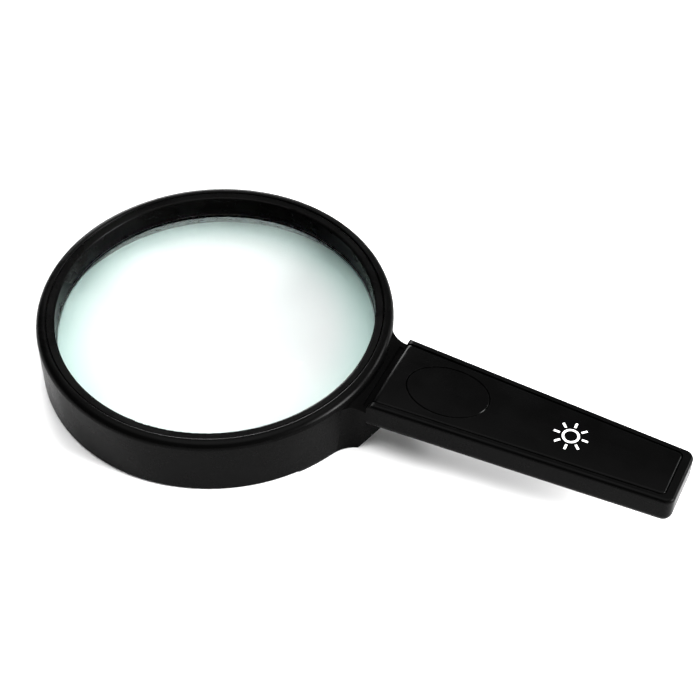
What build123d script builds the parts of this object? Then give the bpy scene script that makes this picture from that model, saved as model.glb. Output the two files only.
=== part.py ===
"""Low vision hand magnifier with a light: a 100 mm biconvex lens in a deep ring, on a flat tapered handle.

Frame: +Z is up, out of the lens; +X runs along the handle, from the lens to the handle's end; the outside is
symmetrical about Y = 0. The origin is the middle of the overall box, on the plane that the ring rests on.
All sizes are in millimetres. A "reach" is a distance from the ring's centre along the handle.
"""
from build123d import *
import math
import os

# ---------------------------------------------------------------- clearances
FIT = 0.1                       # between inner pieces that lie next to each other
SEAM = 0.05                     # between faces that all but touch
ROOTED = 0.5                    # joined shapes sink this far into each other
PAST = 1.0                      # cutting shapes run this far past a face

# ---------------------------------------------------------------- outside
OVERALL_LENGTH = 200.5
RING_RADIUS = 53.5
RING_HEIGHT = 20.0
RING_TOP_ROUNDING = 2.2
RING_INNER_ROUNDING = 0.4
RING_FOOT_ROUNDING = 1.0
HANDLE_ROOT_WIDTH = 29.6        # where the handle's side lines meet the ring's wall
HANDLE_END_WIDTH = 20.0
HANDLE_THICKNESS = 10.2
HANDLE_CORNER = 2.8             # plan radius of the two corners at the handle's end
HANDLE_FOOT_ROUNDING = 3.0
LIP_ROUNDING = 1.1
LIP_ROOT_ROUNDING = 2.5         # the lip's two ends round down to the deck beside the ring
LIP_DROP = 0.3                  # the tray's lip lies this far below the crown of the cover
CROWN_RADIUS = 150.0            # the cover's top is a very flat arch across the handle

# ---------------------------------------------------------------- ring, lens and retaining ring
BORE_RADIUS = 50.55             # seat of the lens and of the retaining ring
LEDGE_RADIUS = 47.9             # the lens rests on this ledge
SKIRT_RADIUS = 51.1             # inner wall under the ledge
LEDGE_SLOPE_BOTTOM = 5.6
LEDGE_BOTTOM = 8.8
LENS_BOTTOM = 10.4              # lower face of the lens's flat land
LENS_TOP = 12.8                 # upper face of the lens's flat land
LENS_RADIUS = 50.2
LENS_LAND_RADIUS = 47.6         # the curved faces end here
LENS_CURVATURE = 260.0
LENS_CHAMFER = 0.3
RETAINER_RADIUS = 50.45
RETAINER_TOP = 19.75
RETAINER_FALL = 0.2             # its top face falls inward by this much
RETAINER_ROUNDING = 0.7
RETAINER_OUTER_ROUNDING = 0.3

# ---------------------------------------------------------------- neck between ring and handle
NECK_DECK = 16.0                # lowest level of the valley between the rim and the cover
DECK_RISE = 1.0                 # the valley's floor climbs by this much from the cover to the ring
DECK_FOOT = 57.2                # reach where it starts to climb
DECK_HEAD = 52.0                # reach where it stops
DECK_THICKNESS = 1.6
FLARE_TOP_RADIUS = 5.8          # concave fillets from the handle's sides into the ring
FLARE_FOOT_RADIUS = 10.0
FLARE_BITE = 0.15               # the flares end this far inside the ring's wall
NECK_FOOT = 54.8                # reach where the underside starts to climb
NECK_CLIMB_END = 61.3
NECK_INNER_CORNER = 4.0
NECK_END = 63.5
NECK_TAPER = [(54.5, 15.7), (61.3, 11.4)]   # below the handle's rounding, the neck's sides follow this line

# ---------------------------------------------------------------- handle tray and cover
WALL = 1.9
END_WALL_EXTRA = 0.9            # the wall at the handle's end is thicker by this much
FLOOR = 1.6
TRAY_ROOT = 56.9
CAVITY_ROOT = 60.5
CAVITY_CORNER = 1.8
COVER_THICKNESS = 1.6
COVER_GAP = 0.15
COVER_ROOT = 57.4
COVER_ROOT_ROUNDING = 1.8
COVER_EDGE_ROUNDING = 0.9
COVER_CORNER = 1.6
COVER_SKIRT = 1.5
COVER_LEDGES = [75.0, 93.0, 128.0]
COVER_LEDGE_DEPTH = 0.8
COVER_LEDGE_LENGTH = 2.0

# ---------------------------------------------------------------- button, board and switch
BUTTON_REACH = 76.0
BUTTON_LENGTH = 24.9
BUTTON_WIDTH = 17.6
BUTTON_GAP = 0.2
BUTTON_CHAMFER = 0.25
BUTTON_FLANGE = 1.1
BUTTON_FLANGE_THICKNESS = 0.8
BUTTON_BOSS_RADIUS = 1.4
BOARD_ROOT = 67.0
BOARD_END = 88.0
BOARD_WIDTH = 18.0
BOARD_BOTTOM = 12.4
BOARD_THICKNESS = 1.0
BOARD_CORNER = 1.0
SWITCH_SIDE = 6.0
SWITCH_HEIGHT = 2.0
SWITCH_CORNER = 0.5
SWITCH_COLLAR = 0.2
SWITCH_COLLAR_WALL = 0.7
SWITCH_FLOOR = 0.1
PLUNGER_RADIUS = 1.5
PLUNGER_FIT = 0.08
PLUNGER_LENGTH = 2.3
PLUNGER_TOP = 16.9
SPRING_RADIUS = 4.85            # to the middle of the wire
SPRING_WIRE = 0.5
SPRING_TURNS = 3.0
SPRING_SEAT_GAP = 0.03
RESISTOR_REACH = 84.6
RESISTOR_RADIUS = 0.9
RESISTOR_LENGTH = 3.6
RESISTOR_ROUNDING = 0.35
RESISTOR_SPAN = 6.4
RESISTOR_BEND = 0.6

# ---------------------------------------------------------------- lamp in the neck
LAMP_TILT = 35.0                # the lamp looks down at the page under the lens
LAMP_TIP_REACH = 53.2
LAMP_TIP_HEIGHT = 5.5
LAMP_RADIUS = 1.5
LAMP_LENGTH = 4.2
LAMP_COLLAR_RADIUS = 1.8
LAMP_COLLAR = 0.8
LAMP_PIN = 0.45
LAMP_PIN_PLACE = 1.27           # each pin lies this far from the middle plane
LAMP_PIN_LEVEL = 13.9
LAMP_PAD_REACH = 68.6
LAMP_BAY_WIDTH = 10.2
LAMP_BAY_WALL = 1.45            # measured along the handle from the sloping underside
LAMP_BAY_STEP = 55.2            # reach where the bay's low front meets its tall back
LAMP_PIN_BEND = 2.4             # from the lamp's collar to the first bend of its pins
LAMP_PIN_ROUNDING = 0.2
HOLDER_PLACE = 2.3              # from the dome's tip to the middle of the holder
HOLDER_THICKNESS = 1.4
WINDOW_WIDTH = 8.0
WINDOW_BOTTOM = 2.0
WINDOW_TOP = 6.5
WINDOW_FLANGE = 0.8
WINDOW_STEP = 1.2               # depth of the plug in the wall
WINDOW_THICKNESS = 0.6          # thickness of its flange

# ---------------------------------------------------------------- cells, contacts, wires and door
CELL_REACH = 100.0
CELL_RADIUS = 10.0
CELL_HEIGHT = 1.6
CELL_ROUNDING = 0.3
CELL_CAP_INSET = 1.3
CELL_CAP_RISE = 0.2
BAY_ROOT = 89.7                 # the opening in the floor runs from here ...
BAY_END = 110.5                 # ... to here
BAY_WIDTH = 20.4
RIB = 1.2
RIB_TOP = 15.0
WIRE_RADIUS = 0.5
WIRE_START = 86.0               # reach where both wires leave the board
WIRE_SIDE = 5.5                 # the positive wire passes the rib this far from the middle plane
WIRE_LEVEL = 14.7               # and at this height, below the button's flange when it is pressed
WIRE_NOTCH = 13.5               # bottom of its notch in the rib
WIRE_CLIMB = 2.5                # past the rib it has climbed to the shelf within this length
WIRE_DRIFT = 1.0                # and moved outward by this much
WIRE_BEND = 1.0
WIRE_TIGHT_BEND = 0.55          # bends of the short negative wire
CONTACT_THICKNESS = 0.25
CONTACT_WIDTH = 4.0
CONTACT_ROOT = 86.7             # the negative contact overhangs the board from here
CONTACT_FLAT = 2.0              # length that rests on the cell's cap
CONTACT_TIP_LIFT = 0.6
STRIP_LENGTH = 6.0              # along the positive side of the lower cell
STRIP_LIFT = 0.2
STRIP_TAIL = 1.0
SHELF_TOP = 16.0
SHELF_DEPTH = 2.0
DOOR_GAP = 0.2
DOOR_THICKNESS = 1.4
HOOK_PLACE = 8.1
HOOK_WIDTH = 2.8
HOOK_REACH = 1.6
HOOK_THICKNESS = 0.8
HOOK_ROOT = 0.9                 # length of a hook's foot on the door
HOOK_GAP = 0.15
HOOK_NOTCH = 0.3                # free space on each side of a hook
GRIP_GROOVES = 4
GRIP_PLACE = 3.0                # from the door's free end to the first groove
GRIP_PITCH = 1.6
GRIP_DEPTH = 0.4

# ---------------------------------------------------------------- screws
COVER_SCREWS = [(64.4, 8.8), (64.4, -8.8), (116.8, 0.0), (139.6, 5.2), (139.6, -5.2)]
COVER_SCREW_RADIUS = 1.1
COVER_SCREW_HEAD_RADIUS = 1.9
COVER_SCREW_HEAD = 1.2
COVER_SCREW_LENGTH = 7.4        # head and shank
BOSS_RADIUS = 2.2
BOSS_SPLIT = 14.6               # the tray's bosses end here and the cover's begin
BOARD_SCREWS = [(69.6, 6.4), (85.6, -6.4)]
BOARD_SCREW_RADIUS = 0.8
BOARD_SCREW_HEAD_RADIUS = 1.4
BOARD_SCREW_HEAD = 0.7
BOARD_SCREW_LENGTH = 2.7        # head and shank
BOARD_SCREW_GRIP = 2.2          # depth of its hole, from the top of the board
CROSS_WIDTH = 0.5
CROSS_LENGTH = 1.2              # times the head's radius

# ---------------------------------------------------------------- worked out from the above
RING_X = RING_RADIUS - OVERALL_LENGTH / 2
HANDLE_REACH = OVERALL_LENGTH - RING_RADIUS
HANDLE_BOTTOM = RING_HEIGHT - HANDLE_THICKNESS
FLOOR_TOP = HANDLE_BOTTOM + FLOOR
LIP_TOP = RING_HEIGHT - LIP_DROP
COVER_BOTTOM = LIP_TOP - COVER_THICKNESS
BOARD_TOP = BOARD_BOTTOM + BOARD_THICKNESS
SWITCH_TOP = BOARD_TOP + SWITCH_HEIGHT
FLANGE_TOP = COVER_BOTTOM - FIT
FLANGE_BOTTOM = FLANGE_TOP - BUTTON_FLANGE_THICKNESS
DOOR_TOP = HANDLE_BOTTOM + DOOR_THICKNESS
LOWER_CELL = DOOR_TOP + FIT
UPPER_CELL = LOWER_CELL + CELL_HEIGHT
CELLS_TOP = UPPER_CELL + CELL_HEIGHT
RIB_REACH = BAY_ROOT - RIB - FIT
NECK_SLOPE = (NECK_CLIMB_END - NECK_FOOT) / HANDLE_BOTTOM
HINGE_REACH = BAY_END - DOOR_GAP - DOOR_THICKNESS / 2
HINGE_HEIGHT = HANDLE_BOTTOM + DOOR_THICKNESS / 2
FAR = 2 * OVERALL_LENGTH        # larger than the object, for cutting tools


# ---------------------------------------------------------------- shared shapes
def half_width(reach):
    """Half the handle's width at a reach."""
    share = (reach - RING_RADIUS) / (HANDLE_REACH - RING_RADIUS)
    return (HANDLE_ROOT_WIDTH + (HANDLE_END_WIDTH - HANDLE_ROOT_WIDTH) * share) / 2


def place(reach, y=0.0, z=0.0):
    """The location of a point given by its reach."""
    return Pos(RING_X + reach, y, z)


def block(reaches, ys, zs):
    """A box between two reaches, two ys and two heights."""
    size = Box(reaches[1] - reaches[0], ys[1] - ys[0], zs[1] - zs[0], align=Align.MIN)
    return place(reaches[0], ys[0], zs[0]) * size


def rod(reach, y, low, high, radius):
    """An upright cylinder."""
    upright = Cylinder(radius, high - low, align=(Align.CENTER, Align.CENTER, Align.MIN))
    return place(reach, y, low) * upright


def handle_prism(inset, root, corner, low, high, end_inset=0.0):
    """The handle's outline as a prism, moved inward by inset, with rounded end corners."""
    end = HANDLE_REACH - inset - end_inset
    near, far = half_width(root) - inset, half_width(end) - inset
    face = make_face(Polyline((root, near), (end, far), (end, -far), (root, -near), close=True))
    face = fillet(face.vertices().sort_by(Axis.X)[-2:], corner)
    return place(0, 0, low) * extrude(face, high - low)


def side_prism(outline, half_depth):
    """A prism across the handle from a face drawn in (reach, height)."""
    return place(0) * extrude(Plane.XZ * outline, half_depth, both=True)


def turned(face):
    """A body turned about the lens axis from a face drawn in (radius, height)."""
    return place(0) * revolve(Plane.XZ * face, Axis.Z)


def under_crown():
    """All the space under the arch of the cover's top."""
    arch = Rotation(0, 90, 0) * Cylinder(CROWN_RADIUS, FAR)
    return Pos(0, 0, RING_HEIGHT - CROWN_RADIUS) * arch


def oval_prism(margin, low, high):
    """A prism with the button's oval outline, larger all round by the margin."""
    oval = Ellipse(BUTTON_LENGTH / 2 + margin, BUTTON_WIDTH / 2 + margin)
    return place(BUTTON_REACH, 0, low) * extrude(oval, high - low)


def tube(route, radius):
    """A round wire along a route of straight runs and arcs."""
    return sweep(Plane(route @ 0, z_dir=route % 0) * Circle(radius), path=route)


def edges_at(solid, height):
    """The edges that lie at one height."""
    return solid.edges().filter_by_position(Axis.Z, height - 1e-4, height + 1e-4)


# ---------------------------------------------------------------- frame shell
def ring_body():
    """The ring before it is bored."""
    disc = Cylinder(RING_RADIUS, RING_HEIGHT, align=(Align.CENTER, Align.CENTER, Align.MIN))
    disc = fillet(edges_at(disc, RING_HEIGHT), RING_TOP_ROUNDING)
    return place(0) * fillet(edges_at(disc, 0), RING_FOOT_ROUNDING)


def neck_plan(flare):
    """The neck seen from above, with its concave flares into the ring."""
    root = RING_RADIUS / 2
    near, far = half_width(root), half_width(NECK_END)
    sides = make_face(Polyline((root, near), (NECK_END, far), (NECK_END, -far), (root, -near), close=True))
    face = Circle(RING_RADIUS - FLARE_BITE) + sides
    inner = [v for v in face.vertices() if root < v.X < NECK_END - PAST]
    face = fillet(inner, flare)
    window = Pos(RING_RADIUS, 0) * Rectangle(2 * (NECK_END - RING_RADIUS), 2 * RING_RADIUS)
    return (face & window).face()


def neck_side_cuts():
    """What is cut off the neck's low sides, so that they run in under the handle's rounded foot."""
    (reach, y), (far_reach, far_y) = NECK_TAPER
    end = NECK_END + PAST
    end_y = y + (far_y - y) * (end - reach) / (far_reach - reach)
    outside = [(end, RING_RADIUS), (reach, RING_RADIUS)]
    half = make_face(Polyline((reach, y), (end, end_y), *outside, close=True))
    cut = place(0, 0, -PAST) * extrude(half, HANDLE_BOTTOM + HANDLE_FOOT_ROUNDING + PAST)
    return cut + mirror(cut, about=Plane.XZ)


def neck_body():
    """The block that joins ring and handle, its underside climbing to the handle's."""
    foot = place(0, 0, 0) * neck_plan(FLARE_FOOT_RADIUS)
    head = NECK_DECK + DECK_RISE
    deck = place(0, 0, head) * neck_plan(FLARE_TOP_RADIUS)
    corner = (NECK_CLIMB_END, HANDLE_BOTTOM)
    end = NECK_END + PAST
    above = make_face(Polyline(
        (0, -PAST), (NECK_FOOT - NECK_SLOPE * PAST, -PAST), corner, (end, HANDLE_BOTTOM),
        (end, NECK_DECK), (DECK_FOOT, NECK_DECK), (DECK_HEAD, head), (0, head), close=True,
    ))
    above = fillet(above.vertices().sort_by_distance(Vector(*corner, 0))[0], NECK_INNER_CORNER)
    return (loft([foot, deck], ruled=True) & side_prism(above, FAR)) - neck_side_cuts()


def lip_end_cut():
    """What is cut off beside the ring, so that the lip's two ends round down to the deck."""
    reach, height = TRAY_ROOT + LIP_ROOT_ROUNDING, LIP_TOP - LIP_ROOT_ROUNDING
    cut = block((TRAY_ROOT - PAST, reach), (-FAR, FAR), (height, RING_HEIGHT))
    return cut - place(reach, 0, height) * Rotation(90, 0, 0) * Cylinder(LIP_ROOT_ROUNDING, 2 * FAR)


def tray_body():
    """The outside of the handle tray."""
    body = handle_prism(0, TRAY_ROOT, HANDLE_CORNER, HANDLE_BOTTOM, LIP_TOP)
    beyond_root = RING_X + TRAY_ROOT + FIT
    foot = [e for e in edges_at(body, HANDLE_BOTTOM) if e.center().X > beyond_root]
    body = fillet(foot, HANDLE_FOOT_ROUNDING)
    lip = [e for e in edges_at(body, LIP_TOP) if e.center().X > beyond_root]
    return fillet(lip, LIP_ROUNDING) - lip_end_cut()


def ring_void():
    """The stepped bore: skirt, ledge, and the seat for lens and retaining ring."""
    above = RING_HEIGHT + PAST
    return turned(make_face(Polyline(
        (0, -PAST), (SKIRT_RADIUS, -PAST), (SKIRT_RADIUS, LEDGE_SLOPE_BOTTOM),
        (LEDGE_RADIUS, LEDGE_BOTTOM), (LEDGE_RADIUS, LENS_BOTTOM), (BORE_RADIUS, LENS_BOTTOM),
        (BORE_RADIUS, above), (0, above), close=True,
    )))


def tray_void():
    """The hollow of the handle, open upward for the cover and open at its root above the deck."""
    above = RING_HEIGHT + PAST
    before = TRAY_ROOT - WALL
    seat = handle_prism(WALL, before, CAVITY_CORNER, COVER_BOTTOM, above, END_WALL_EXTRA)
    root = handle_prism(WALL, before, CAVITY_CORNER, NECK_DECK, above)
    root &= block((0, CAVITY_ROOT), (-FAR, FAR), (0, FAR))
    cavity = handle_prism(WALL, CAVITY_ROOT, CAVITY_CORNER, FLOOR_TOP, above, END_WALL_EXTRA)
    return seat + root + cavity


def lamp_bay(margin=0.0):
    """The hollow in the neck that holds the lamp, made smaller all round by the margin."""
    low = WINDOW_BOTTOM - WINDOW_FLANGE - FIT
    high = NECK_DECK - DECK_THICKNESS
    inner = SKIRT_RADIUS + WINDOW_STEP
    outer = NECK_FOOT - LAMP_BAY_WALL
    mouth = FLOOR_TOP + 2 * FIT
    shoulder = WINDOW_TOP + WINDOW_FLANGE + FIT
    end = CAVITY_ROOT + PAST
    outline = make_face(Polyline(
        (inner, low), (outer + NECK_SLOPE * low, low), (outer + NECK_SLOPE * mouth, mouth), (end, mouth),
        (end, high), (LAMP_BAY_STEP, high), (LAMP_BAY_STEP, FLOOR_TOP), (inner, shoulder), close=True,
    ))
    if margin:
        outline = offset(outline, -margin)
    return side_prism(outline, LAMP_BAY_WIDTH / 2 - margin)


def cross_rib(root):
    """A rib across the tray at one end of the battery bay."""
    rib = block((root, root + RIB), (-FAR, FAR), (FLOOR_TOP, RIB_TOP))
    return rib & handle_prism(WALL - ROOTED, CAVITY_ROOT, CAVITY_CORNER, 0, RING_HEIGHT)


def cut_battery_bay(shell):
    """Adds the ribs of the battery bay and cuts its floor opening, hook notches and wire notches."""
    half = BAY_WIDTH / 2
    shell = shell + cross_rib(RIB_REACH) + cross_rib(BAY_END + FIT)
    shell -= block((BAY_ROOT, BAY_END), (-half, half), (0, FLOOR_TOP + PAST))
    for side in (-1, 1):
        inner = side * HOOK_PLACE - HOOK_WIDTH / 2 - HOOK_NOTCH
        outer = side * HOOK_PLACE + HOOK_WIDTH / 2 + HOOK_NOTCH
        shell -= block((BAY_END - PAST, BAY_END + RIB + PAST), (inner, outer), (FLOOR_TOP, FAR))
    notch = (WIRE_SIDE - 2 * WIRE_RADIUS, WIRE_SIDE + 2 * WIRE_RADIUS)
    return shell - block((RIB_REACH - PAST, BAY_ROOT + PAST), notch, (WIRE_NOTCH, FAR))


def add_bosses(shell):
    """Adds the screw bosses, board standoffs and cover ledges, with their holes."""
    for reach, y in COVER_SCREWS:
        shell += rod(reach, y, FLOOR_TOP - ROOTED, BOSS_SPLIT, BOSS_RADIUS)
        shell -= rod(reach, y, 0, FAR, COVER_SCREW_RADIUS + FIT)
        shell -= rod(reach, y, 0, HANDLE_BOTTOM + COVER_SCREW_HEAD + FIT,
                     COVER_SCREW_HEAD_RADIUS + FIT)
    for reach, y in BOARD_SCREWS:
        shell += rod(reach, y, FLOOR_TOP - ROOTED, BOARD_BOTTOM, 2 * BOARD_SCREW_RADIUS)
        shell -= rod(reach, y, BOARD_TOP - BOARD_SCREW_GRIP, FAR, BOARD_SCREW_RADIUS)
    for reach in COVER_LEDGES:
        edge = half_width(reach) - WALL
        ends = (reach - COVER_LEDGE_LENGTH / 2, reach + COVER_LEDGE_LENGTH / 2)
        for side in (-1, 1):
            ys = sorted((side * (edge - COVER_LEDGE_DEPTH), side * (edge + ROOTED)))
            shell += block(ends, ys, (FLOOR_TOP, COVER_BOTTOM))
    return shell


def frame_shell():
    """Ring, neck and handle tray, moulded in one piece."""
    shell = ring_body() + neck_body() + tray_body() - ring_void()
    inner_rim = edges_at(shell, RING_HEIGHT).sort_by(SortBy.RADIUS)[0]
    shell = fillet(inner_rim, RING_INNER_ROUNDING)
    shell = shell - tray_void() - lamp_bay()
    half = WINDOW_WIDTH / 2
    through = (SKIRT_RADIUS - PAST, SKIRT_RADIUS + WINDOW_STEP + PAST)
    shell -= block(through, (-half, half), (WINDOW_BOTTOM, WINDOW_TOP))
    return add_bosses(cut_battery_bay(shell))


# ---------------------------------------------------------------- lens and retaining ring
def magnifier_lens():
    """Biconvex lens with a flat land all round."""
    sag = LENS_CURVATURE - math.sqrt(LENS_CURVATURE ** 2 - LENS_LAND_RADIUS ** 2)
    top, bottom = (0, LENS_TOP + sag), (0, LENS_BOTTOM - sag)
    land_top, land_bottom = (LENS_LAND_RADIUS, LENS_TOP), (LENS_LAND_RADIUS, LENS_BOTTOM)
    edge = LENS_RADIUS - LENS_CHAMFER
    outline = [
        Line(bottom, top),
        RadiusArc(top, land_top, LENS_CURVATURE),
        Polyline(land_top, (edge, LENS_TOP), (LENS_RADIUS, LENS_TOP - LENS_CHAMFER),
                 (LENS_RADIUS, LENS_BOTTOM + LENS_CHAMFER), (edge, LENS_BOTTOM), land_bottom),
        RadiusArc(land_bottom, bottom, LENS_CURVATURE),
    ]
    return turned(make_face(Curve() + outline))


def lens_retaining_ring():
    """Ring pressed into the bore on top of the lens, its upper face falling inward."""
    inner_top = (LEDGE_RADIUS, RETAINER_TOP - RETAINER_FALL)
    outer_top = (RETAINER_RADIUS, RETAINER_TOP)
    face = make_face(Polyline((LEDGE_RADIUS, LENS_TOP), (RETAINER_RADIUS, LENS_TOP), outer_top, inner_top,
                              close=True))
    face = fillet(face.vertices().sort_by_distance(Vector(*inner_top, 0))[0], RETAINER_ROUNDING)
    face = fillet(face.vertices().sort_by_distance(Vector(*outer_top, 0))[0], RETAINER_OUTER_ROUNDING)
    return turned(face)


# ---------------------------------------------------------------- cover and button
def handle_cover():
    """The inset cover, rounded down at its root, with the oval hole for the button."""
    cover = handle_prism(WALL + COVER_GAP, COVER_ROOT, COVER_CORNER, NECK_DECK + SEAM, RING_HEIGHT,
                         END_WALL_EXTRA)
    cover -= block((COVER_ROOT + COVER_SKIRT, FAR), (-FAR, FAR), (0, COVER_BOTTOM))
    cover &= under_crown()
    upper = [e for e in cover.edges() if e.center().Z > LIP_TOP - LIP_DROP]
    root_edge = sorted(upper, key=lambda e: e.center().X)[0]
    cover = fillet(root_edge, COVER_ROOT_ROUNDING)
    past_rounding = RING_X + COVER_ROOT + 2 * COVER_ROOT_ROUNDING
    rim = [e for e in cover.edges() if e.center().Z > LIP_TOP - LIP_DROP and e.center().X > past_rounding]
    cover = fillet(rim, COVER_EDGE_ROUNDING)
    cover -= oval_prism(BUTTON_GAP, 0, FAR)
    for reach, y in COVER_SCREWS:
        cover += rod(reach, y, BOSS_SPLIT + SEAM, COVER_BOTTOM + ROOTED, BOSS_RADIUS)
        cover -= rod(reach, y, 0, COVER_BOTTOM, COVER_SCREW_RADIUS)
    return cover


def oval_button():
    """The thumb button: an oval cap flush with the cover, a flange under the cover and a central boss."""
    cap = oval_prism(0, FLANGE_TOP - SEAM, FAR) & under_crown()
    upper = [e for e in cap.edges() if e.center().Z > LIP_TOP - LIP_DROP]
    cap = chamfer(upper, BUTTON_CHAMFER)
    cap += oval_prism(BUTTON_FLANGE, FLANGE_BOTTOM, FLANGE_TOP)
    return cap + rod(BUTTON_REACH, 0, PLUNGER_TOP, FLANGE_BOTTOM + SEAM, BUTTON_BOSS_RADIUS)


def button_spring():
    """The coil spring between the board and the button's flange, around the switch."""
    seat = BOARD_TOP + SPRING_WIRE / 2 + SPRING_SEAT_GAP
    height = FLANGE_BOTTOM - SPRING_WIRE / 2 - SPRING_SEAT_GAP - seat
    path = Helix(pitch=height / SPRING_TURNS, height=height, radius=SPRING_RADIUS)
    wire = Plane(path @ 0, z_dir=path % 0) * Circle(SPRING_WIRE / 2)
    return place(BUTTON_REACH, 0, seat) * sweep(wire, path=path, is_frenet=True)


# ---------------------------------------------------------------- board, switch and resistor
def circuit_board():
    """The board that carries the switch and the resistor."""
    half = BOARD_WIDTH / 2
    board = block((BOARD_ROOT, BOARD_END), (-half, half), (BOARD_BOTTOM, BOARD_TOP))
    board = fillet(board.edges().filter_by(Axis.Z), BOARD_CORNER)
    for reach, y in BOARD_SCREWS:
        board -= rod(reach, y, 0, FAR, BOARD_SCREW_RADIUS + FIT)
    return board


def switch_body():
    """A momentary push switch with a square housing."""
    half = SWITCH_SIDE / 2
    ends = (BUTTON_REACH - half, BUTTON_REACH + half)
    housing = block(ends, (-half, half), (BOARD_TOP, SWITCH_TOP))
    housing = chamfer(housing.edges().filter_by(Axis.Z), SWITCH_CORNER)
    collar_radius = PLUNGER_RADIUS + SWITCH_COLLAR_WALL
    collar = rod(BUTTON_REACH, 0, SWITCH_TOP, SWITCH_TOP + SWITCH_COLLAR, collar_radius)
    well = rod(BUTTON_REACH, 0, BOARD_TOP + SWITCH_FLOOR, FAR, PLUNGER_RADIUS + PLUNGER_FIT)
    return housing + collar - well


def switch_plunger():
    """The switch's plunger, which the button's boss presses."""
    return rod(BUTTON_REACH, 0, PLUNGER_TOP - PLUNGER_LENGTH, PLUNGER_TOP, PLUNGER_RADIUS)


def series_resistor():
    """A small axial resistor lying across the board, with its two bent wires."""
    axis_height = BOARD_TOP + RESISTOR_RADIUS + 2 * FIT
    barrel = Rotation(90, 0, 0) * Cylinder(RESISTOR_RADIUS, RESISTOR_LENGTH)
    barrel = fillet(barrel.edges().filter_by(GeomType.CIRCLE), RESISTOR_ROUNDING)
    x, half = RING_X + RESISTOR_REACH, RESISTOR_SPAN / 2
    route = FilletPolyline((x, -half, BOARD_TOP), (x, -half, axis_height), (x, half, axis_height),
                           (x, half, BOARD_TOP), radius=RESISTOR_BEND)
    return place(RESISTOR_REACH, 0, axis_height) * barrel + tube(route, LAMP_PIN / 2)


# ---------------------------------------------------------------- lamp
def lamp_plane():
    """The lamp's own frame: origin at the dome's tip, z from the tip back to the pins."""
    tilt = math.radians(LAMP_TILT)
    tip = Vector(RING_X + LAMP_TIP_REACH, 0, LAMP_TIP_HEIGHT)
    return Plane(tip, x_dir=(0, 1, 0), z_dir=(math.cos(tilt), 0, math.sin(tilt)))


def led_bulb():
    """A round lamp with a dome and a collar."""
    shoulder = LAMP_LENGTH - LAMP_COLLAR
    outline = [
        RadiusArc((0, 0), (LAMP_RADIUS, LAMP_RADIUS), -LAMP_RADIUS),
        Polyline((LAMP_RADIUS, LAMP_RADIUS), (LAMP_RADIUS, shoulder), (LAMP_COLLAR_RADIUS, shoulder),
                 (LAMP_COLLAR_RADIUS, LAMP_LENGTH), (0, LAMP_LENGTH), (0, 0)),
    ]
    return lamp_plane() * revolve(Plane.XZ * make_face(Curve() + outline), Axis.Z)


def led_leads():
    """The lamp's two pins, bent up and run to their pads on the board."""
    pins = []
    for y in (-LAMP_PIN_PLACE, LAMP_PIN_PLACE):
        start = lamp_plane().from_local_coords(Vector(y, 0, LAMP_LENGTH))
        bend = lamp_plane().from_local_coords(Vector(y, 0, LAMP_LENGTH + LAMP_PIN_BEND))
        pad = RING_X + LAMP_PAD_REACH
        route = FilletPolyline(start, bend, (RING_X + CAVITY_ROOT + PAST, y, LAMP_PIN_LEVEL),
                               (pad, y, LAMP_PIN_LEVEL), (pad, y, BOARD_TOP), radius=LAMP_PIN_ROUNDING)
        pins.append(tube(route, LAMP_PIN / 2))
    return pins[0] + pins[1]


def led_holder():
    """A moulded plate across the neck's hollow that grips the lamp."""
    plate = Pos(0, 0, HOLDER_PLACE) * Box(FAR, FAR, HOLDER_THICKNESS)
    hole = Cylinder(LAMP_RADIUS + SEAM, FAR)
    return lamp_bay(FIT) & (lamp_plane() * (plate - hole))


def light_window():
    """Clear window in the skirt, flush inside, with a flange behind the wall."""
    half = WINDOW_WIDTH / 2 - FIT
    step = SKIRT_RADIUS + WINDOW_STEP + SEAM
    plug = block((SKIRT_RADIUS - PAST, step), (-half, half), (WINDOW_BOTTOM + FIT, WINDOW_TOP - FIT))
    plug -= place(0) * Cylinder(SKIRT_RADIUS, FAR)
    low, high = WINDOW_BOTTOM - WINDOW_FLANGE + FIT, WINDOW_TOP + WINDOW_FLANGE / 2
    edge = half + WINDOW_FLANGE
    return plug + block((step, step + WINDOW_THICKNESS), (-edge, edge), (low, high))


# ---------------------------------------------------------------- cells, contacts, wires and door
def coin_cell(bottom):
    """A coin cell: a can with rounded edges and a smaller cap on top."""
    can = rod(CELL_REACH, 0, bottom, bottom + CELL_HEIGHT - CELL_CAP_RISE, CELL_RADIUS)
    can = fillet(can.edges().filter_by(GeomType.CIRCLE), CELL_ROUNDING)
    return can + rod(CELL_REACH, 0, bottom + ROOTED, bottom + CELL_HEIGHT, CELL_RADIUS - CELL_CAP_INSET)


def battery_contact_negative():
    """Leaf spring from the board's end over the rib, pressing on the upper cell's cap."""
    low = CELLS_TOP + CONTACT_THICKNESS / 2
    high = RIB_TOP + CONTACT_THICKNESS / 2
    flat = CONTACT_FLAT / 2
    middle = Polyline((CONTACT_ROOT, high), (RIB_REACH + RIB, high), (CELL_REACH - flat, low),
                      (CELL_REACH + flat, low), (CELL_REACH + flat + CONTACT_FLAT, low + CONTACT_TIP_LIFT))
    leaf = side_prism(trace(middle, CONTACT_THICKNESS), CONTACT_WIDTH / 2)
    return leaf & block((0, FAR), (-FAR, FAR), (CELLS_TOP, FAR))


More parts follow.
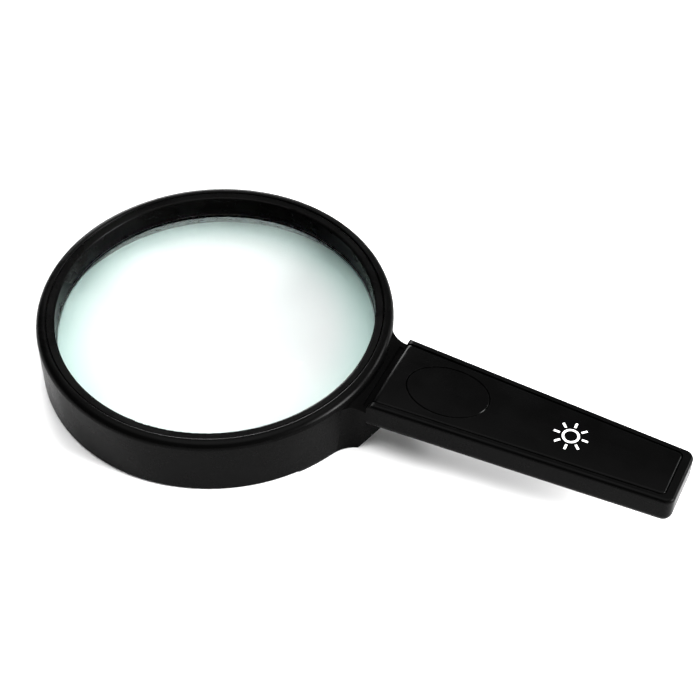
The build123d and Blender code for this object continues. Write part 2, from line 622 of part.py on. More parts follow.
def battery_contact_positive():
    """Side strip that touches the lower cell's can, with a tail up to a shelf for its wire."""
    inner = CELL_RADIUS + SEAM
    outer = inner + CONTACT_THICKNESS
    low = LOWER_CELL + STRIP_LIFT
    start = CELL_REACH - STRIP_LENGTH / 2
    tail = (start, start + STRIP_TAIL)
    strip = block((start, start + STRIP_LENGTH), (inner, outer), (low, low + STRIP_TAIL))
    riser = block(tail, (inner, outer), (low, SHELF_TOP))
    shelf = block(tail, (inner - SHELF_DEPTH, outer), (SHELF_TOP - CONTACT_THICKNESS, SHELF_TOP))
    return strip + riser + shelf


def wire_positive():
    """Insulated wire from the board, through the notch in the rib, up to the positive contact's shelf."""
    start = RING_X + WIRE_START
    notch = RING_X + RIB_REACH + RIB / 2
    climbed = RING_X + BAY_ROOT + WIRE_CLIMB
    tail = RING_X + CELL_REACH - (STRIP_LENGTH - STRIP_TAIL) / 2
    shelf = SHELF_TOP + WIRE_RADIUS
    route = FilletPolyline(
        (start, WIRE_SIDE, BOARD_TOP), (start, WIRE_SIDE, WIRE_LEVEL), (notch, WIRE_SIDE, WIRE_LEVEL),
        (climbed, WIRE_SIDE + WIRE_DRIFT, shelf), (tail, CELL_RADIUS - SHELF_DEPTH / 2, shelf),
        radius=WIRE_BEND,
    )
    return tube(route, WIRE_RADIUS)


def wire_negative():
    """Short insulated wire from the board up to the underside of the negative contact's root."""
    start = RING_X + WIRE_START
    root = RING_X + CONTACT_ROOT + WIRE_RADIUS + FIT
    side = CONTACT_WIDTH / 2 - WIRE_RADIUS - FIT
    level = (BOARD_TOP + RIB_TOP) / 2
    route = FilletPolyline(
        (start, -CONTACT_WIDTH, BOARD_TOP), (start, -CONTACT_WIDTH, level), (root, -side, level),
        (root, -side, RIB_TOP), radius=WIRE_TIGHT_BEND,
    )
    return tube(route, WIRE_RADIUS)


def battery_door():
    """Door in the handle's underside, with a round hinge edge, two hooks and grooves to push on."""
    half = BAY_WIDTH / 2 - DOOR_GAP
    root = BAY_ROOT + DOOR_GAP
    hinge_edge = Rotation(90, 0, 0) * Cylinder(DOOR_THICKNESS / 2, 2 * half)
    plate = block((root, HINGE_REACH), (-half, half), (HANDLE_BOTTOM, DOOR_TOP))
    plate = (plate + place(HINGE_REACH, 0, HINGE_HEIGHT) * hinge_edge) & tray_body()
    for index in range(GRIP_GROOVES):
        groove = root + GRIP_PLACE + index * GRIP_PITCH
        ends = (groove, groove + GRIP_PITCH / 2)
        plate -= block(ends, (-half / 2, half / 2), (0, HANDLE_BOTTOM + GRIP_DEPTH))
    hook_bottom = FLOOR_TOP + HOOK_GAP
    hook_top = hook_bottom + HOOK_THICKNESS
    hook_root = HINGE_REACH - HOOK_ROOT
    for side in (-1, 1):
        ys = (side * HOOK_PLACE - HOOK_WIDTH / 2, side * HOOK_PLACE + HOOK_WIDTH / 2)
        plate += block((hook_root, HINGE_REACH), ys, (DOOR_TOP - ROOTED, hook_top))
        plate += block((hook_root, BAY_END + HOOK_REACH), ys, (hook_bottom, hook_top))
    return plate


# ---------------------------------------------------------------- screws
def screw(head_radius, head, shank_radius, length):
    """A pan-head screw standing on its head, with a cross recess in the head."""
    body = Cylinder(head_radius, head, align=(Align.CENTER, Align.CENTER, Align.MIN))
    body = fillet(edges_at(body, 0), head / 3)
    body += Cylinder(shank_radius, length, align=(Align.CENTER, Align.CENTER, Align.MIN))
    body = chamfer(edges_at(body, length), shank_radius / 3)
    for angle in (0, 90):
        body -= Rotation(0, 0, angle) * Box(CROSS_LENGTH * head_radius, CROSS_WIDTH, head)
    return body


def cover_screws():
    """The screws that hold the cover, driven from the underside."""
    one = screw(COVER_SCREW_HEAD_RADIUS, COVER_SCREW_HEAD, COVER_SCREW_RADIUS, COVER_SCREW_LENGTH)
    return Compound([place(reach, y, HANDLE_BOTTOM + FIT) * one for reach, y in COVER_SCREWS])


def board_screws():
    """The screws that hold the board, driven from above."""
    one = screw(BOARD_SCREW_HEAD_RADIUS, BOARD_SCREW_HEAD, BOARD_SCREW_RADIUS, BOARD_SCREW_LENGTH)
    top = BOARD_TOP + BOARD_SCREW_HEAD
    return Compound([place(reach, y, top) * Rotation(180, 0, 0) * one for reach, y in BOARD_SCREWS])


def all_parts():
    """Every sub-part under its own name."""
    return {
        "frame_shell": frame_shell(),
        "magnifier_lens": magnifier_lens(),
        "lens_retaining_ring": lens_retaining_ring(),
        "handle_cover": handle_cover(),
        "oval_button": oval_button(),
        "button_spring": button_spring(),
        "circuit_board": circuit_board(),
        "switch_body": switch_body(),
        "switch_plunger": switch_plunger(),
        "series_resistor": series_resistor(),
        "led_bulb": led_bulb(),
        "led_leads": led_leads(),
        "led_holder": led_holder(),
        "light_window": light_window(),
        "coin_cell_lower": coin_cell(LOWER_CELL),
        "coin_cell_upper": coin_cell(UPPER_CELL),
        "battery_contact_negative": battery_contact_negative(),
        "battery_contact_positive": battery_contact_positive(),
        "wire_positive": wire_positive(),
        "wire_negative": wire_negative(),
        "battery_door": battery_door(),
        "cover_screws": cover_screws(),
        "board_screws": board_screws(),
    }


os.makedirs("parts", exist_ok=True)
for name, part in all_parts().items():
    export_step(part, f"parts/{name}.step")
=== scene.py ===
import math

import bpy
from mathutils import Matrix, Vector


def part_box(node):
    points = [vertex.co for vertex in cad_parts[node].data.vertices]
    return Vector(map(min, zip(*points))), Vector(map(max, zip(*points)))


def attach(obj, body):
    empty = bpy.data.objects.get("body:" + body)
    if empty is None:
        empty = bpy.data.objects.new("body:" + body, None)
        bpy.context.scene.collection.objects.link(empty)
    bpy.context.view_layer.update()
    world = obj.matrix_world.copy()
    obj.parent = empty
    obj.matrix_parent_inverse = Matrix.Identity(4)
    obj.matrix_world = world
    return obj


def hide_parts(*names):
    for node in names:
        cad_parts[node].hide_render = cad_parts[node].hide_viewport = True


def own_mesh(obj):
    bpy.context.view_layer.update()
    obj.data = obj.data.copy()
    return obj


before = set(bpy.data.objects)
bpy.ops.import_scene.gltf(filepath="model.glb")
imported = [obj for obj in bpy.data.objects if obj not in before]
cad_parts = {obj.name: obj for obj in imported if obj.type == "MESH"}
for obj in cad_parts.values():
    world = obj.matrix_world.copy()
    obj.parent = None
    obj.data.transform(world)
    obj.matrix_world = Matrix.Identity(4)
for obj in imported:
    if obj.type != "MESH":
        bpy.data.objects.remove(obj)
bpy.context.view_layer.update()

MM = 0.001

# ---------------------------------------------------------------- places that the materials need
RING_LOW, RING_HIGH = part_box("lens_retaining_ring")
LENS_LOW, LENS_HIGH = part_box("magnifier_lens")
_, COVER_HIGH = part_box("handle_cover")
CELL_LOW, CELL_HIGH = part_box("coin_cell_upper")
BOARD_LOW, BOARD_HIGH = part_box("circuit_board")
LAMP_LOW, LAMP_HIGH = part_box("led_bulb")
RESISTOR_LOW, RESISTOR_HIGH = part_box("series_resistor")
RING_CENTRE = (RING_LOW + RING_HIGH) / 2
CELL_CENTRE = (CELL_LOW + CELL_HIGH) / 2
LAMP_CENTRE = (LAMP_LOW + LAMP_HIGH) / 2
RESISTOR_CENTRE = (RESISTOR_LOW + RESISTOR_HIGH) / 2
LENS_RADIUS = (LENS_HIGH.x - LENS_LOW.x) / 2

# ---------------------------------------------------------------- camera
CAMERA_AZIMUTH = math.radians(25.94)
CAMERA_ELEVATION = math.radians(47.89)
CAMERA_DISTANCE = 0.5404
CAMERA_TARGET = Vector((-0.0109, 0.0184, 0.0))
CAMERA_LENS_MM = 90.33
CAMERA_SENSOR_MM = 36.0
CAMERA_NEAR, CAMERA_FAR = 0.01, 50.0

# ---------------------------------------------------------------- colours, linear
BLACK = (0.0007, 0.0007, 0.0007)
BLACK_WORN = (0.008, 0.008, 0.008)
PRINT_WHITE = (0.80, 0.80, 0.78)
LENS_TONE = (0.990, 1.0, 0.997)
# painted tint: the lens's colour towards its edge, standing in for the cyan cast that light shows at the rim
LENS_EDGE_PAINTED_TINT = (0.84, 1.0, 0.96)

# ---------------------------------------------------------------- the light symbol printed on the cover
SYMBOL_PLACE = 30.5 * MM            # from the cover's outer end
SYMBOL_RING = 2.2 * MM              # radius of its ring
SYMBOL_LINE = 0.60 * MM
SYMBOL_RAYS = 8
SYMBOL_RAY_MIDDLE = 4.2 * MM        # from the symbol's middle to the middle of each ray
SYMBOL_RAY_LENGTH = 1.7 * MM
PRINT_BLUR = 0.06 * MM
PRINT_DEPTH = 0.5 * MM              # print this far below the cover's top or more doesn't show
PRINT_FADE = 0.1 * MM

# ---------------------------------------------------------------- the lens's flat land
LAND_WIDTH = 2.7 * MM               # from the lens's edge; the land is ground matt
LAND_FADE = 0.2 * MM
# the painted cyan tint at the lens's edge reaches this far in
PAINTED_TINT_WIDTH = 18.0 * MM              # the tint fades out this far from the edge

# ---------------------------------------------------------------- the button's spring
COIL_WIRE = 0.25 * MM               # radius of its wire
COIL_TURNS = 4
COIL_END = 0.25                     # share of the turns that lies closed, at each end
COIL_DEAD = 0.52 * MM               # rise of a closed turn
COIL_POINTS = 16                    # points in one turn
COIL_ROUNDNESS = 3

# ---------------------------------------------------------------- small inner pieces
TURNING_RATE = 2 * math.pi / (0.12 * MM)    # one turned circle on a cell every 0.12 mm
# each band of the resistor: its place from the middle in millimetres, and its colour
RESISTOR_BANDS = [
    (-1.15, (0.18, 0.06, 0.02)),
    (-0.45, (0.01, 0.01, 0.01)),
    (0.25, (0.18, 0.06, 0.02)),
    (1.20, (0.55, 0.38, 0.08)),
]


# ---------------------------------------------------------------- where an edge begins
# the rounded normal against the face's own: on an open face, and on a fully rubbed edge
EDGE_FLAT, EDGE_SHARP = 0.985, 0.80


# ---------------------------------------------------------------- a material under construction
class Shade:
    """A material with one Principled shader, and short calls that add nodes to it."""

    def __init__(self, name):
        self.material = bpy.data.materials.new(name)
        self.material.use_nodes = True
        self.tree = self.material.node_tree
        self.tree.nodes.clear()
        self.surface = self.add("ShaderNodeBsdfPrincipled")
        self.output = self.add("ShaderNodeOutputMaterial")
        self.link(self.surface.outputs["BSDF"], self.output.inputs["Surface"])
        self.place = self.add("ShaderNodeTexCoord").outputs["Object"]

    def add(self, kind, **settings):
        """A new node with these settings."""
        node = self.tree.nodes.new(kind)
        for name, value in settings.items():
            setattr(node, name, value)
        return node

    def link(self, source, target):
        """Joins an output to an input, or sets the input if the source is a plain value."""
        if isinstance(source, bpy.types.NodeSocket):
            self.tree.links.new(source, target)
        else:
            target.default_value = source

    def give(self, **inputs):
        """Sets or links inputs of the Principled shader, with spaces written as underscores."""
        for name, value in inputs.items():
            self.link(value, self.surface.inputs[name.replace("_", " ")])
        return self

    def maths(self, operation, first, second=0.0, clamp=False):
        """One arithmetic step."""
        node = self.add("ShaderNodeMath", operation=operation, use_clamp=clamp)
        self.link(first, node.inputs[0])
        self.link(second, node.inputs[1])
        return node.outputs[0]

    def ramp(self, value, low, high, to_low=0.0, to_high=1.0):
        """The value carried smoothly from one range to another, and held at its ends."""
        node = self.add("ShaderNodeMapRange", interpolation_type="SMOOTHSTEP")
        for socket, number in zip(node.inputs, (value, low, high, to_low, to_high)):
            self.link(number, socket)
        return node.outputs[0]

    def stretched(self, stretch, origin=(0, 0, 0)):
        """Object coordinates measured from an origin and stretched along each axis."""
        node = self.add("ShaderNodeMapping", vector_type="TEXTURE")
        self.link(self.place, node.inputs["Vector"])
        node.inputs["Location"].default_value = origin
        node.inputs["Scale"].default_value = stretch
        return node.outputs[0]

    def noise(self, size, detail=2.0, stretch=(1, 1, 1)):
        """Noise from 0 to 1 whose features measure about the given size."""
        node = self.add("ShaderNodeTexNoise")
        self.link(self.stretched(stretch), node.inputs["Vector"])
        node.inputs["Scale"].default_value = 1 / size
        node.inputs["Detail"].default_value = detail
        return node.outputs["Fac"]

    def cells(self, size):
        """Distance to the nearest of many scattered points, about a size apart, in sizes."""
        node = self.add("ShaderNodeTexVoronoi")
        self.link(self.place, node.inputs["Vector"])
        node.inputs["Scale"].default_value = 1 / size
        return node.outputs["Distance"]

    def axes(self, origin=(0, 0, 0)):
        """The three coordinates measured from an origin."""
        node = self.add("ShaderNodeSeparateXYZ")
        self.link(self.stretched((1, 1, 1), origin), node.inputs[0])
        return node.outputs

    def radius(self, origin):
        """The distance from an upright axis through an origin."""
        x, y, _ = self.axes(origin)
        node = self.add("ShaderNodeCombineXYZ")
        self.link(x, node.inputs[0])
        self.link(y, node.inputs[1])
        length = self.add("ShaderNodeVectorMath", operation="LENGTH")
        self.link(node.outputs[0], length.inputs[0])
        return length.outputs["Value"]

    def blend(self, share, first, second):
        """Two colours mixed by a share."""
        node = self.add("ShaderNodeMix", data_type="RGBA")
        self.link(share, node.inputs["Factor"])
        for socket, colour in ((node.inputs[6], first), (node.inputs[7], second)):
            self.link(colour if isinstance(colour, bpy.types.NodeSocket) else (*colour, 1.0), socket)
        return node.outputs[2]

    def relief(self, height, depth, below=None):
        """A normal from a height map whose full range is a real depth."""
        node = self.add("ShaderNodeBump")
        node.inputs["Strength"].default_value = 1.0
        node.inputs["Distance"].default_value = depth
        self.link(height, node.inputs["Height"])
        if below is not None:
            self.link(below, node.inputs["Normal"])
        return node.outputs[0]

    def edges(self, reach):
        """0 on open faces, rising towards 1 along edges, within a reach of them."""
        rounded = self.add("ShaderNodeBevel", samples=4)
        rounded.inputs["Radius"].default_value = reach
        plain = self.add("ShaderNodeNewGeometry").outputs["Normal"]
        dot = self.add("ShaderNodeVectorMath", operation="DOT_PRODUCT")
        self.link(rounded.outputs[0], dot.inputs[0])
        self.link(plain, dot.inputs[1])
        return self.ramp(dot.outputs["Value"], EDGE_FLAT, EDGE_SHARP)


# ---------------------------------------------------------------- moulded black plastic
def moulded_black(name, grain, grain_depth, rough_low, rough_high, wear):
    """Satin black plastic: spark-eroded grain, slight flow marks, handling marks, and rubbed edges."""
    shade = Shade(name)
    flow = shade.noise(14 * MM, 3.0, (1.6, 1.0, 0.6))
    handled = shade.ramp(shade.noise(9 * MM, 3.0), 0.30, 0.75)
    scratches = shade.ramp(shade.noise(0.5 * MM, 2.0, (18, 1, 1)), 0.66, 0.74)
    patchy = shade.ramp(shade.noise(1.6 * MM, 4.0), 0.40, 0.70)
    worn = shade.maths("MULTIPLY", shade.edges(0.5 * MM), patchy)
    worn = shade.maths("MULTIPLY", worn, wear)
    dusty = shade.maths("MULTIPLY", shade.ramp(flow, 0.35, 0.75), 0.05)
    colour = shade.blend(dusty, BLACK, BLACK_WORN)
    colour = shade.blend(worn, colour, BLACK_WORN)
    rough = shade.ramp(handled, 0.0, 1.0, rough_high, rough_low)
    rough = shade.maths("ADD", rough, shade.maths("MULTIPLY", scratches, 0.06))
    rough = shade.maths("SUBTRACT", rough, shade.maths("MULTIPLY", worn, 0.08), clamp=True)
    pits = shade.maths("MULTIPLY", shade.cells(2.2 * grain), 0.6)
    fine = shade.maths("ADD", shade.noise(grain, 2.0), pits)
    normal = shade.relief(fine, grain_depth)
    normal = shade.relief(flow, 0.012 * MM, normal)
    shade.give(Roughness=rough, Normal=normal, Specular_IOR_Level=0.021)
    return shade, colour


def black_plastic():
    """Ring, neck, tray, retaining ring and battery door."""
    shade, colour = moulded_black("black_plastic", 0.22 * MM, 0.0030 * MM, 0.25, 0.31, 0.4)
    return shade.give(Base_Color=colour).material


def light_symbol(shade):
    """Mask of the printed symbol on the cover: a small ring with eight short rays."""
    middle = (COVER_HIGH.x - SYMBOL_PLACE, 0, 0)
    x, y, z = shade.axes(middle)
    radius = shade.radius(middle)
    line = SYMBOL_LINE / 2
    from_ring = shade.maths("ABSOLUTE", shade.maths("SUBTRACT", radius, SYMBOL_RING))
    ring = shade.ramp(from_ring, line + PRINT_BLUR, line)
    turn = shade.maths("PINGPONG", shade.maths("ARCTAN2", y, x), math.pi / SYMBOL_RAYS)
    from_ray = shade.maths("MULTIPLY", radius, shade.maths("SINE", turn))
    rays = shade.ramp(from_ray, line + PRINT_BLUR, line)
    from_middle = shade.maths("ABSOLUTE", shade.maths("SUBTRACT", radius, SYMBOL_RAY_MIDDLE))
    half = SYMBOL_RAY_LENGTH / 2
    rays = shade.maths("MULTIPLY", rays, shade.ramp(from_middle, half + PRINT_BLUR, half))
    upper = shade.ramp(z, COVER_HIGH.z - PRINT_DEPTH - PRINT_FADE, COVER_HIGH.z - PRINT_DEPTH)
    return shade.maths("MULTIPLY", shade.maths("MAXIMUM", ring, rays), upper)


def cover_plastic():
    """The cover: the same plastic with a plain printed light symbol near the handle's end."""
    shade, colour = moulded_black("cover_plastic", 0.22 * MM, 0.0025 * MM, 0.21, 0.26, 0.4)
    ink = shade.ramp(shade.noise(0.25 * MM, 3.0), 0.25, 0.45, 0.80, 1.0)
    printed = shade.maths("MULTIPLY", light_symbol(shade), ink)
    return shade.give(Base_Color=shade.blend(printed, colour, PRINT_WHITE)).material


def button_plastic():
    """The thumb button, a little smoother, with a finer and shallower grain."""
    shade, colour = moulded_black("button_plastic", 0.18 * MM, 0.0020 * MM, 0.21, 0.26, 0.4)
    return shade.give(Base_Color=colour).material


# ---------------------------------------------------------------- lens, window and lamp
def lens_glass():
    """Polished glass with a faint green body colour, wipe marks, a ground rim, and a painted cyan tint
    growing towards the edge, standing in for the cast that light takes through the rim.
    """
    shade = Shade("lens_glass")
    from_axis = shade.radius(RING_CENTRE)
    rim = shade.ramp(from_axis, LENS_RADIUS - LAND_WIDTH, LENS_RADIUS - LAND_WIDTH + LAND_FADE)
    wiped = shade.ramp(shade.noise(9 * MM, 3.0, (3, 1, 1)), 0.5, 0.8, 0.0, 0.012)
    rough = shade.maths("ADD", wiped, shade.maths("MULTIPLY", rim, 0.45))
    # painted cyan tint, rising towards the edge, in place of the cast that light takes through the glass's
    # rim
    edge = shade.ramp(from_axis, LENS_RADIUS - PAINTED_TINT_WIDTH, LENS_RADIUS - LAND_WIDTH)
    tone = shade.blend(edge, LENS_TONE, LENS_EDGE_PAINTED_TINT)
    shade.give(Base_Color=tone, Roughness=rough, Transmission_Weight=1.0, IOR=1.52,
               Specular_IOR_Level=0.25)
    body = shade.add("ShaderNodeVolumeAbsorption")
    body.inputs["Color"].default_value = (0.72, 0.93, 0.88, 1.0)
    body.inputs["Density"].default_value = 6.0
    shade.link(body.outputs[0], shade.output.inputs["Volume"])
    return shade.material


def window_plastic():
    """Clear moulded acrylic with a lightly frosted, streaked face."""
    shade = Shade("window_plastic")
    frost = shade.ramp(shade.noise(0.5 * MM, 3.0), 0.35, 0.70, 0.10, 0.28)
    streaks = shade.noise(2.0 * MM, 2.0, (1, 3, 1))
    tone = shade.blend(streaks, (0.90, 0.93, 0.93), (0.98, 0.99, 0.99))
    normal = shade.relief(streaks, 0.01 * MM)
    shade.give(Base_Color=tone, Roughness=frost, Normal=normal, Transmission_Weight=0.85, IOR=1.49)
    return shade.material


def lamp_epoxy():
    """Milky clear epoxy, yellowish where the phosphor shows through its middle."""
    shade = Shade("lamp_epoxy")
    _, y, z = shade.axes(LAMP_CENTRE)
    across = shade.maths("ADD", shade.maths("POWER", y, 2.0), shade.maths("POWER", z, 2.0))
    phosphor = shade.ramp(across, (1.0 * MM) ** 2, (0.5 * MM) ** 2)
    cloud = shade.noise(0.6 * MM, 3.0)
    tone = shade.blend(phosphor, (0.88, 0.90, 0.88), (0.86, 0.74, 0.28))
    rough = shade.ramp(cloud, 0.3, 0.7, 0.05, 0.16)
    normal = shade.relief(cloud, 0.004 * MM)
    shade.give(Base_Color=tone, Roughness=rough, Normal=normal, Transmission_Weight=0.35, IOR=1.53)
    return shade.material


# ---------------------------------------------------------------- metals
def drawn_metal(name, bright, dull, line, stretch, rough_low, rough_high):
    """Metal with fine lines along the stretched axis, dull patches and brighter rubbed edges."""
    shade = Shade(name)
    lines = shade.noise(line, 3.0, stretch)
    patches = shade.ramp(shade.noise(25 * line, 4.0), 0.40, 0.70)
    rubbed = shade.edges(2 * line)
    colour = shade.blend(patches, bright, dull)
    colour = shade.blend(rubbed, colour, bright)
    rough = shade.ramp(lines, 0.3, 0.7, rough_low, rough_high)
    rough = shade.maths("ADD", rough, shade.maths("MULTIPLY", patches, 0.10))
    normal = shade.relief(lines, line / 20)
    return shade.give(Base_Color=colour, Roughness=rough, Normal=normal, Metallic=1.0)


def tinned_wire():
    """The lamp's pins."""
    return drawn_metal("tinned_wire", (0.78, 0.78, 0.76), (0.52, 0.52, 0.50),
                       0.05 * MM, (10, 1, 1), 0.20, 0.34).material


def spring_steel():
    """The button's spring, faintly straw-coloured."""
    return drawn_metal("spring_steel", (0.62, 0.60, 0.56), (0.40, 0.34, 0.27),
                       0.05 * MM, (4, 4, 1), 0.18, 0.32).material


def contact_metal():
    """Nickelled bronze strip, rolled along the handle."""
    return drawn_metal("contact_metal", (0.80, 0.74, 0.58), (0.58, 0.47, 0.30),
                       0.06 * MM, (14, 1, 1), 0.20, 0.36).material


def screw_steel():
    """Zinc-plated screws with a slightly yellow passivation."""
    return drawn_metal("screw_steel", (0.66, 0.66, 0.63), (0.42, 0.41, 0.34),
                       0.08 * MM, (1, 1, 5), 0.24, 0.40).material


def cell_steel():
    """Nickelled cans, turned in fine circles, with handling scratches and a faint stain."""
    shade = Shade("cell_steel")
    circles = shade.maths("SINE", shade.maths("MULTIPLY", shade.radius(CELL_CENTRE), TURNING_RATE))
    broken = shade.maths("MULTIPLY", circles, shade.noise(1.5 * MM, 3.0))
    scratches = shade.ramp(shade.noise(0.3 * MM, 2.0, (20, 1, 1)), 0.64, 0.72)
    stain = shade.ramp(shade.noise(4 * MM, 4.0), 0.45, 0.75)
    colour = shade.blend(stain, (0.70, 0.69, 0.66), (0.50, 0.48, 0.43))
    rough = shade.ramp(broken, -0.6, 0.6, 0.16, 0.28)
    rough = shade.maths("ADD", rough, shade.maths("MULTIPLY", scratches, 0.15))
    normal = shade.relief(broken, 0.0015 * MM)
    shade.give(Base_Color=colour, Roughness=rough, Normal=normal, Metallic=1.0)
    return shade.material


# ---------------------------------------------------------------- small inner pieces
def small_moulding(name, colour, marked, grain, rough_low, rough_high):
    """Plain plastic with fine grain, faint cloudy marks and polished edges."""
    shade = Shade(name)
    cloud = shade.noise(8 * grain, 4.0)
    fine = shade.noise(grain, 2.0)
    tone = shade.blend(shade.ramp(cloud, 0.35, 0.75), colour, marked)
    rough = shade.ramp(cloud, 0.3, 0.7, rough_high, rough_low)
    rough = shade.maths("SUBTRACT", rough, shade.maths("MULTIPLY", shade.edges(2 * grain), 0.08), clamp=True)
    return shade.give(Base_Color=tone, Roughness=rough, Normal=shade.relief(fine, grain / 30))


def switch_plastic():
    """The switch's dark housing."""
    return small_moulding("switch_plastic", (0.030, 0.030, 0.032), (0.055, 0.055, 0.057),
                          0.12 * MM, 0.30, 0.48).material


def plunger_plastic():
    """The switch's white acetal plunger."""
    return small_moulding("plunger_plastic", (0.78, 0.77, 0.74), (0.68, 0.66, 0.61),
                          0.10 * MM, 0.22, 0.38).material


def red_insulation():
    """Soft red wire covering."""
    return small_moulding("red_insulation", (0.48, 0.020, 0.016), (0.36, 0.014, 0.012),
                          0.10 * MM, 0.28, 0.42).material


def black_insulation():
    """Soft black wire covering."""
    return small_moulding("black_insulation", (0.016, 0.016, 0.017), (0.030, 0.030, 0.031),
                          0.10 * MM, 0.28, 0.42).material


def board_laminate():
    """Green solder mask over raised copper tracks, with the weave of the laminate at its cut edges."""
    shade = Shade("board_laminate")
    _, _, z = shade.axes()
    bricks = shade.add("ShaderNodeTexBrick")
    shade.link(shade.place, bricks.inputs["Vector"])
    bricks.inputs["Scale"].default_value = 1 / (4 * MM)
    bricks.inputs["Mortar Size"].default_value = 0.06
    bricks.inputs["Mortar Smooth"].default_value = 0.2
    tracks = bricks.outputs["Fac"]
    weave = shade.noise(0.3 * MM, 2.0, (1, 1, 3))
    mask = shade.blend(tracks, (0.012, 0.090, 0.032), (0.040, 0.200, 0.070))
    inside = shade.ramp(z, BOARD_HIGH.z - 0.03 * MM, BOARD_HIGH.z - 0.05 * MM)
    above_foot = shade.ramp(z, BOARD_LOW.z + 0.03 * MM, BOARD_LOW.z + 0.05 * MM)
    cut_edge = shade.maths("MULTIPLY", inside, above_foot)
    tone = shade.blend(cut_edge, mask, shade.blend(weave, (0.38, 0.36, 0.20), (0.52, 0.50, 0.30)))
    rough = shade.ramp(shade.noise(1.5 * MM, 3.0), 0.3, 0.7, 0.22, 0.38)
    rough = shade.maths("ADD", rough, shade.maths("MULTIPLY", cut_edge, 0.30))
    normal = shade.relief(tracks, 0.03 * MM)
    normal = shade.relief(weave, 0.006 * MM, normal)
    return shade.give(Base_Color=tone, Roughness=rough, Normal=normal).material


def resistor_lacquer():
    """Lacquered barrel with colour bands, and tinned wires beyond its ends."""
    shade = Shade("resistor_lacquer")
    _, y, _ = shade.axes(RESISTOR_CENTRE)
    tone = shade.blend(shade.noise(0.5 * MM, 3.0), (0.50, 0.36, 0.18), (0.60, 0.45, 0.25))
    for place, band in RESISTOR_BANDS:
        away = shade.maths("ABSOLUTE", shade.maths("SUBTRACT", y, place * MM))
        tone = shade.blend(shade.ramp(away, 0.22 * MM, 0.18 * MM), tone, band)
    wire = shade.ramp(shade.maths("ABSOLUTE", y), 1.79 * MM, 1.81 * MM)
    tone = shade.blend(wire, tone, (0.72, 0.72, 0.70))
    drips = shade.noise(0.4 * MM, 2.0)
    rough = shade.ramp(drips, 0.3, 0.7, 0.12, 0.26)
    normal = shade.relief(drips, 0.01 * MM)
    return shade.give(Base_Color=tone, Roughness=rough, Normal=normal, Metallic=wire).material


LOOKS = {
    black_plastic: ["frame_shell", "lens_retaining_ring", "battery_door", "led_holder"],
    cover_plastic: ["handle_cover"],
    button_plastic: ["oval_button"],
    lens_glass: ["magnifier_lens"],
    window_plastic: ["light_window"],
    lamp_epoxy: ["led_bulb"],
    tinned_wire: ["led_leads"],
    spring_steel: ["button_spring"],
    contact_metal: ["battery_contact_negative", "battery_contact_positive"],
    screw_steel: ["cover_screws", "board_screws"],
    cell_steel: ["coin_cell_lower", "coin_cell_upper"],
    switch_plastic: ["switch_body"],
    plunger_plastic: ["switch_plunger"],
    red_insulation: ["wire_positive"],
    black_insulation: ["wire_negative"],
    board_laminate: ["circuit_board"],
    resistor_lacquer: ["series_resistor"],
}
for look, nodes in LOOKS.items():
    material = look()
    for node in nodes:
        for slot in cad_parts[node].material_slots:
            slot.material = material


# ---------------------------------------------------------------- the button's spring
def coil_level(along, height):
    """How high the coil's line is at a share of its length. In its closed end turns it rises little."""
    first = min(along / COIL_END, 1.0)
    last = max((along - 1) / COIL_END + 1, 0.0)
    open_turns = min(max((along - COIL_END) / (1 - 2 * COIL_END), 0.0), 1.0)
    return COIL_DEAD * (first + last) + (height - 2 * COIL_DEAD) * open_turns


def coil_spring():
    """The button's spring as a wound wire with closed end turns."""
    low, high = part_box("button_spring")
    middle = (low + high) / 2
    winding_radius = (high.x - low.x) / 2 - COIL_WIRE
    height = high.z - low.z - 2 * COIL_WIRE
    curve = bpy.data.curves.new("spring_line", "CURVE")
    curve.dimensions = "3D"
    curve.bevel_depth = COIL_WIRE
    curve.bevel_resolution = COIL_ROUNDNESS
    curve.use_fill_caps = True
    spline = curve.splines.new("NURBS")
    count = COIL_TURNS * COIL_POINTS + 1
    spline.points.add(count - 1)
    for i, point in enumerate(spline.points):
        along = i / (count - 1)
        turn = along * COIL_TURNS * 2 * math.pi
        x = middle.x + winding_radius * math.cos(turn)
        y = middle.y + winding_radius * math.sin(turn)
        point.co = (x, y, low.z + COIL_WIRE + coil_level(along, height), 1.0)
    spline.order_u = 4
    spline.use_endpoint_u = True
    winding = bpy.data.objects.new("spring_line", curve)
    mesh = bpy.data.meshes.new_from_object(winding)
    bpy.data.objects.remove(winding)
    mesh.materials.append(bpy.data.materials["spring_steel"])
    piece = bpy.data.objects.new("spring_coil", mesh)
    bpy.context.collection.objects.link(piece)
    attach(piece, "frame")
    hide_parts("button_spring")
    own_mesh(piece)


coil_spring()


# ---------------------------------------------------------------- floor, light and camera
FLOOR_SIZE = 40.0
FLOOR_DROP = 0.00002                 # so that it doesn't touch the ring's foot


def floor():
    """A wide, plain, almost white floor."""
    bpy.ops.mesh.primitive_plane_add(size=FLOOR_SIZE, location=(0, 0, -FLOOR_DROP))
    plane = bpy.context.object
    plane.name = "floor"
    shade = Shade("floor_paper")
    tone = shade.blend(shade.noise(60 * MM, 3.0), (0.86, 0.86, 0.86), (0.88, 0.88, 0.88))
    shade.give(Base_Color=tone, Roughness=0.9, Specular_IOR_Level=0.1)
    plane.data.materials.append(shade.material)


def direction(azimuth, elevation):
    """The unit vector towards an azimuth, counted from +X, and an elevation, both in degrees."""
    a, e = math.radians(azimuth), math.radians(elevation)
    return Vector((math.cos(a) * math.cos(e), math.sin(a) * math.cos(e), math.sin(e)))


# azimuth and elevation of the middle, radius of the bright core and of the soft edge, in degrees; radiance
SOFT_LIGHTS = [
    (90, 88, 14, 38, 5.5),
    (126, 10, 5, 17, 45.0),
    (8, 20, 3, 14, 130.0),
    (44, 20, 3, 11, 40.0),
]
ROOM = 0.12


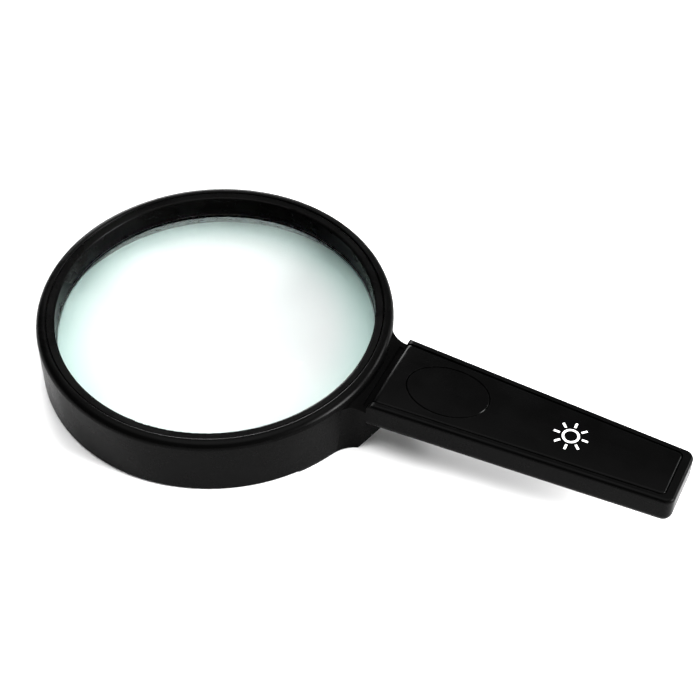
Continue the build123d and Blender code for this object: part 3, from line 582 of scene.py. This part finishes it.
def studio():
    """A dim room with wide soft lights that fade out at their edges, as large diffusers do."""
    world = bpy.data.worlds.new("studio")
    world.use_nodes = True
    bpy.context.scene.world = world
    tree = world.node_tree
    towards = tree.nodes.new("ShaderNodeTexCoord").outputs["Generated"]
    total = ROOM
    for azimuth, elevation, core, edge, radiance in SOFT_LIGHTS:
        dot = tree.nodes.new("ShaderNodeVectorMath")
        dot.operation = "DOT_PRODUCT"
        tree.links.new(towards, dot.inputs[0])
        dot.inputs[1].default_value = direction(azimuth, elevation)
        fade = tree.nodes.new("ShaderNodeMapRange")
        fade.interpolation_type = "SMOOTHSTEP"
        tree.links.new(dot.outputs["Value"], fade.inputs["Value"])
        fade.inputs["From Min"].default_value = math.cos(math.radians(edge))
        fade.inputs["From Max"].default_value = math.cos(math.radians(core))
        fade.inputs["To Max"].default_value = radiance
        add = tree.nodes.new("ShaderNodeMath")
        if isinstance(total, float):
            add.inputs[1].default_value = total
        else:
            tree.links.new(total, add.inputs[1])
        tree.links.new(fade.outputs["Result"], add.inputs[0])
        total = add.outputs[0]
    tree.links.new(total, tree.nodes["Background"].inputs["Strength"])
    tree.nodes["Background"].inputs["Color"].default_value = (1, 1, 1, 1)


def camera():
    """The camera, looking down at the object from the handle's near side."""
    data = bpy.data.cameras.new("camera")
    data.lens = CAMERA_LENS_MM
    data.sensor_width = CAMERA_SENSOR_MM
    data.clip_start, data.clip_end = CAMERA_NEAR, CAMERA_FAR
    eye = bpy.data.objects.new("camera", data)
    bpy.context.collection.objects.link(eye)
    back = Vector((
        math.sin(CAMERA_AZIMUTH) * math.cos(CAMERA_ELEVATION),
        -math.cos(CAMERA_AZIMUTH) * math.cos(CAMERA_ELEVATION),
        math.sin(CAMERA_ELEVATION),
    ))
    eye.location = CAMERA_TARGET + back * CAMERA_DISTANCE
    eye.rotation_mode = "QUATERNION"
    eye.rotation_quaternion = back.to_track_quat("Z", "Y")
    bpy.context.scene.camera = eye


floor()
studio()
camera()
bpy.context.scene.view_settings.view_transform = "Standard"
